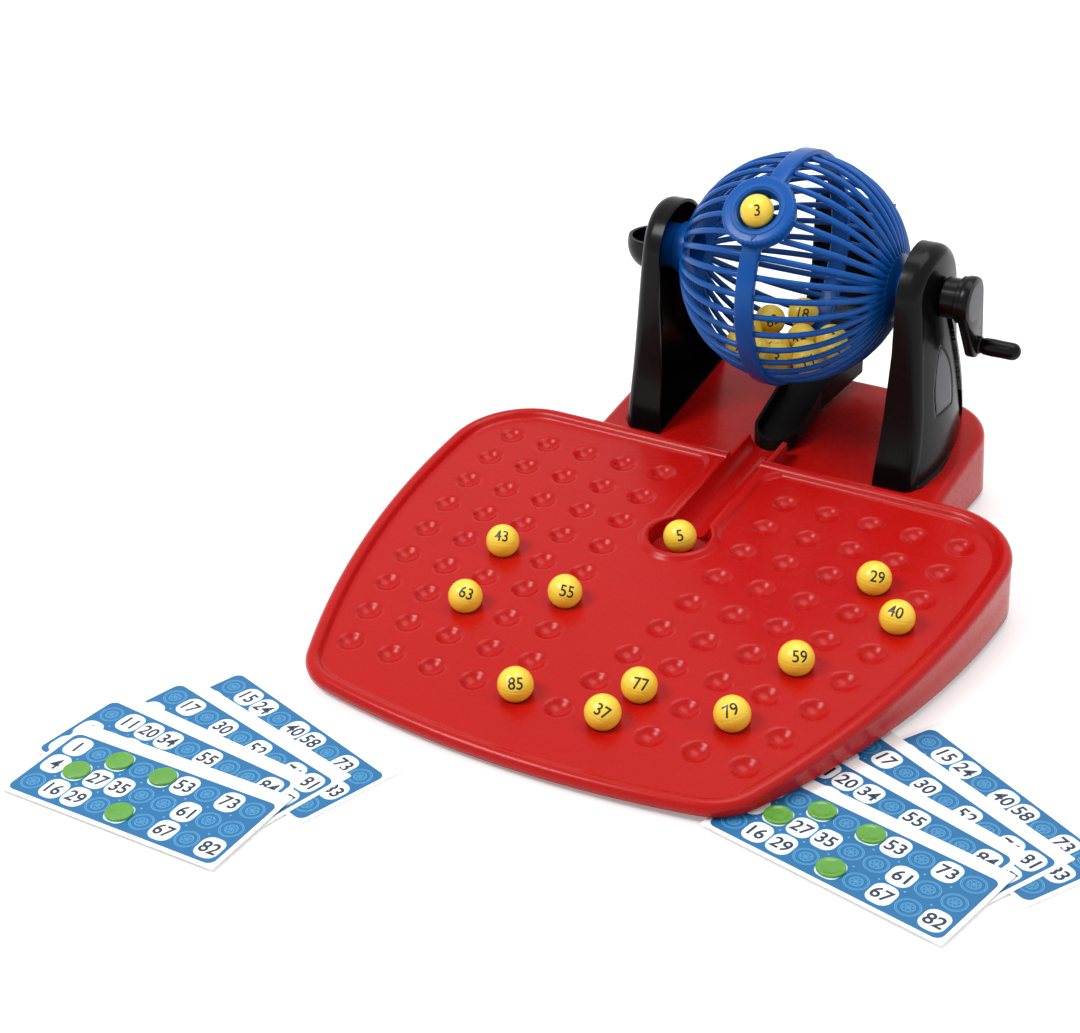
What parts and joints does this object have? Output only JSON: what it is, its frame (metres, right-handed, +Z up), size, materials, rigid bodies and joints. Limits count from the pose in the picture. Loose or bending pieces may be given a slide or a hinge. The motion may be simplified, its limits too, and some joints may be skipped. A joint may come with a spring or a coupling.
{
  "type": "bingo set with cards",
  "caption": "Bingo set: a sloping tray of ball seats, a ribbed ball cage turned by a crank, a chute that leads a drawn ball to a cup, numbered balls, and fanned bingo cards with counters.",
  "frame": {"origin": "on the table, under the middle of the whole set's footprint", "axes": "+X along the cage's axle towards the crank, +Y from the front edge to the cage, +Z up"},
  "size_m": [0.4812, 0.5482, 0.2042],
  "materials": {
    "tray": "glossy red",
    "stand": "glossy black",
    "chute": "satin black",
    "cage": "glossy blue",
    "ball": "satin yellow",
    "card": "printed card",
    "counter": "clear green"
  },
  "bodies": {
    "frame": {"tray_base": "tray", "left_stand": "stand", "right_stand": "stand", "loading_scoop": "stand", "ball_chute": "chute", "ball_cage_1": "ball", "ball_cage_2": "ball", "ball_cage_3": "ball", "ball_cage_4": "ball", "ball_cage_5": "ball", "ball_cage_6": "ball", "ball_cage_7": "ball", "ball_cage_8": "ball", "ball_cage_9": "ball", "ball_cage_10": "ball", "ball_cage_11": "ball", "ball_cage_12": "ball"},
    "cage": {"cage_left": "cage", "cage_right": "cage", "crank": "stand"},
    "gate": {"gate_ring": "cage"},
    "gate_ball": {"ball_gate": "ball"},
    "drawn_ball": {"ball_drawn": "ball"},
    "board_ball_1": {"ball_board_1": "ball"},
    "board_ball_2": {"ball_board_2": "ball"},
    "board_ball_3": {"ball_board_3": "ball"},
    "board_ball_4": {"ball_board_4": "ball"},
    "board_ball_5": {"ball_board_5": "ball"},
    "board_ball_6": {"ball_board_6": "ball"},
    "board_ball_7": {"ball_board_7": "ball"},
    "board_ball_8": {"ball_board_8": "ball"},
    "board_ball_9": {"ball_board_9": "ball"},
    "board_ball_10": {"ball_board_10": "ball"},
    "card_left_1_body": {"card_left_1": "card"},
    "card_left_2_body": {"card_left_2": "card"},
    "card_left_3_body": {"card_left_3": "card"},
    "card_left_4_body": {"card_left_4": "card"},
    "counter_left_1_body": {"counter_left_1": "counter"},
    "counter_left_2_body": {"counter_left_2": "counter"},
    "counter_left_3_body": {"counter_left_3": "counter"},
    "counter_left_4_body": {"counter_left_4": "counter"},
    "card_right_1_body": {"card_right_1": "card"},
    "card_right_2_body": {"card_right_2": "card"},
    "card_right_3_body": {"card_right_3": "card"},
    "card_right_4_body": {"card_right_4": "card"},
    "counter_right_1_body": {"counter_right_1": "counter"},
    "counter_right_2_body": {"counter_right_2": "counter"},
    "counter_right_3_body": {"counter_right_3": "counter"},
    "counter_right_4_body": {"counter_right_4": "counter"}
  },
  "joints": [
    {"name": "cage_spin", "type": "hinge", "parent": "frame", "child": "cage", "pos_m": [-0.04191, 0.18609, 0.137], "axis": [1, 0, 0], "continuous": true},
    {"name": "gate_turn", "type": "hinge", "parent": "cage", "child": "gate", "pos_m": [-0.04191, 0.14013, 0.18296], "axis": [0, -0.7071, 0.7071], "range_deg": [0, 90]},
    {"name": "gate_ball_drop", "type": "slide", "parent": "gate", "child": "gate_ball", "axis": [0, -0.7071, 0.7071], "range_m": [0, 0.0042]},
    {"name": "drawn_ball_roll", "type": "slide", "parent": "frame", "child": "drawn_ball", "axis": [0, 0.9925, 0.1219], "range_m": [0, 0.085]},
    {"name": "board_ball_1_lift", "type": "slide", "parent": "frame", "child": "board_ball_1", "axis": [0, -0.1219, 0.9925], "range_m": [0, 0.05]},
    {"name": "board_ball_2_lift", "type": "slide", "parent": "frame", "child": "board_ball_2", "axis": [0, -0.1219, 0.9925], "range_m": [0, 0.05]},
    {"name": "board_ball_3_lift", "type": "slide", "parent": "frame", "child": "board_ball_3", "axis": [0, -0.1219, 0.9925], "range_m": [0, 0.05]},
    {"name": "board_ball_4_lift", "type": "slide", "parent": "frame", "child": "board_ball_4", "axis": [0, -0.1219, 0.9925], "range_m": [0, 0.05]},
    {"name": "board_ball_5_lift", "type": "slide", "parent": "frame", "child": "board_ball_5", "axis": [0, -0.1219, 0.9925], "range_m": [0, 0.05]},
    {"name": "board_ball_6_lift", "type": "slide", "parent": "frame", "child": "board_ball_6", "axis": [0, -0.1219, 0.9925], "range_m": [0, 0.05]},
    {"name": "board_ball_7_lift", "type": "slide", "parent": "frame", "child": "board_ball_7", "axis": [0, -0.1219, 0.9925], "range_m": [0, 0.05]},
    {"name": "board_ball_8_lift", "type": "slide", "parent": "frame", "child": "board_ball_8", "axis": [0, -0.1219, 0.9925], "range_m": [0, 0.05]},
    {"name": "board_ball_9_lift", "type": "slide", "parent": "frame", "child": "board_ball_9", "axis": [0, -0.1219, 0.9925], "range_m": [0, 0.05]},
    {"name": "board_ball_10_lift", "type": "slide", "parent": "frame", "child": "board_ball_10", "axis": [0, -0.1219, 0.9925], "range_m": [0, 0.05]},
    {"name": "card_left_1_pull", "type": "slide", "parent": "frame", "child": "card_left_1_body", "axis": [-0.9998, -0.0175, 0], "range_m": [0, 0.07]},
    {"name": "card_left_2_pull", "type": "slide", "parent": "frame", "child": "card_left_2_body", "axis": [-0.9962, 0.0872, 0], "range_m": [0, 0.07]},
    {"name": "card_left_3_pull", "type": "slide", "parent": "frame", "child": "card_left_3_body", "axis": [-0.9724, 0.2334, 0], "range_m": [0, 0.07]},
    {"name": "card_left_4_pull", "type": "slide", "parent": "frame", "child": "card_left_4_body", "axis": [-0.9563, 0.2924, 0], "range_m": [0, 0.07]},
    {"name": "counter_left_1_lift", "type": "slide", "parent": "card_left_1_body", "child": "counter_left_1_body", "axis": [0, 0, 1], "range_m": [0, 0.02]},
    {"name": "counter_left_2_lift", "type": "slide", "parent": "card_left_1_body", "child": "counter_left_2_body", "axis": [0, 0, 1], "range_m": [0, 0.02]},
    {"name": "counter_left_3_lift", "type": "slide", "parent": "card_left_1_body", "child": "counter_left_3_body", "axis": [0, 0, 1], "range_m": [0, 0.02]},
    {"name": "counter_left_4_lift", "type": "slide", "parent": "card_left_1_body", "child": "counter_left_4_body", "axis": [0, 0, 1], "range_m": [0, 0.02]},
    {"name": "card_right_1_pull", "type": "slide", "parent": "frame", "child": "card_right_1_body", "axis": [0.9816, -0.1908, 0], "range_m": [0, 0.07]},
    {"name": "card_right_2_pull", "type": "slide", "parent": "frame", "child": "card_right_2_body", "axis": [0.9563, -0.2924, 0], "range_m": [0, 0.07]},
    {"name": "card_right_3_pull", "type": "slide", "parent": "frame", "child": "card_right_3_body", "axis": [0.9026, -0.4305, 0], "range_m": [0, 0.07]},
    {"name": "card_right_4_pull", "type": "slide", "parent": "frame", "child": "card_right_4_body", "axis": [0.8746, -0.4848, 0], "range_m": [0, 0.07]},
    {"name": "counter_right_1_lift", "type": "slide", "parent": "card_right_1_body", "child": "counter_right_1_body", "axis": [0, 0, 1], "range_m": [0, 0.02]},
    {"name": "counter_right_2_lift", "type": "slide", "parent": "card_right_1_body", "child": "counter_right_2_body", "axis": [0, 0, 1], "range_m": [0, 0.02]},
    {"name": "counter_right_3_lift", "type": "slide", "parent": "card_right_1_body", "child": "counter_right_3_body", "axis": [0, 0, 1], "range_m": [0, 0.02]},
    {"name": "counter_right_4_lift", "type": "slide", "parent": "card_right_1_body", "child": "counter_right_4_body", "axis": [0, 0, 1], "range_m": [0, 0.02]}
  ]
}
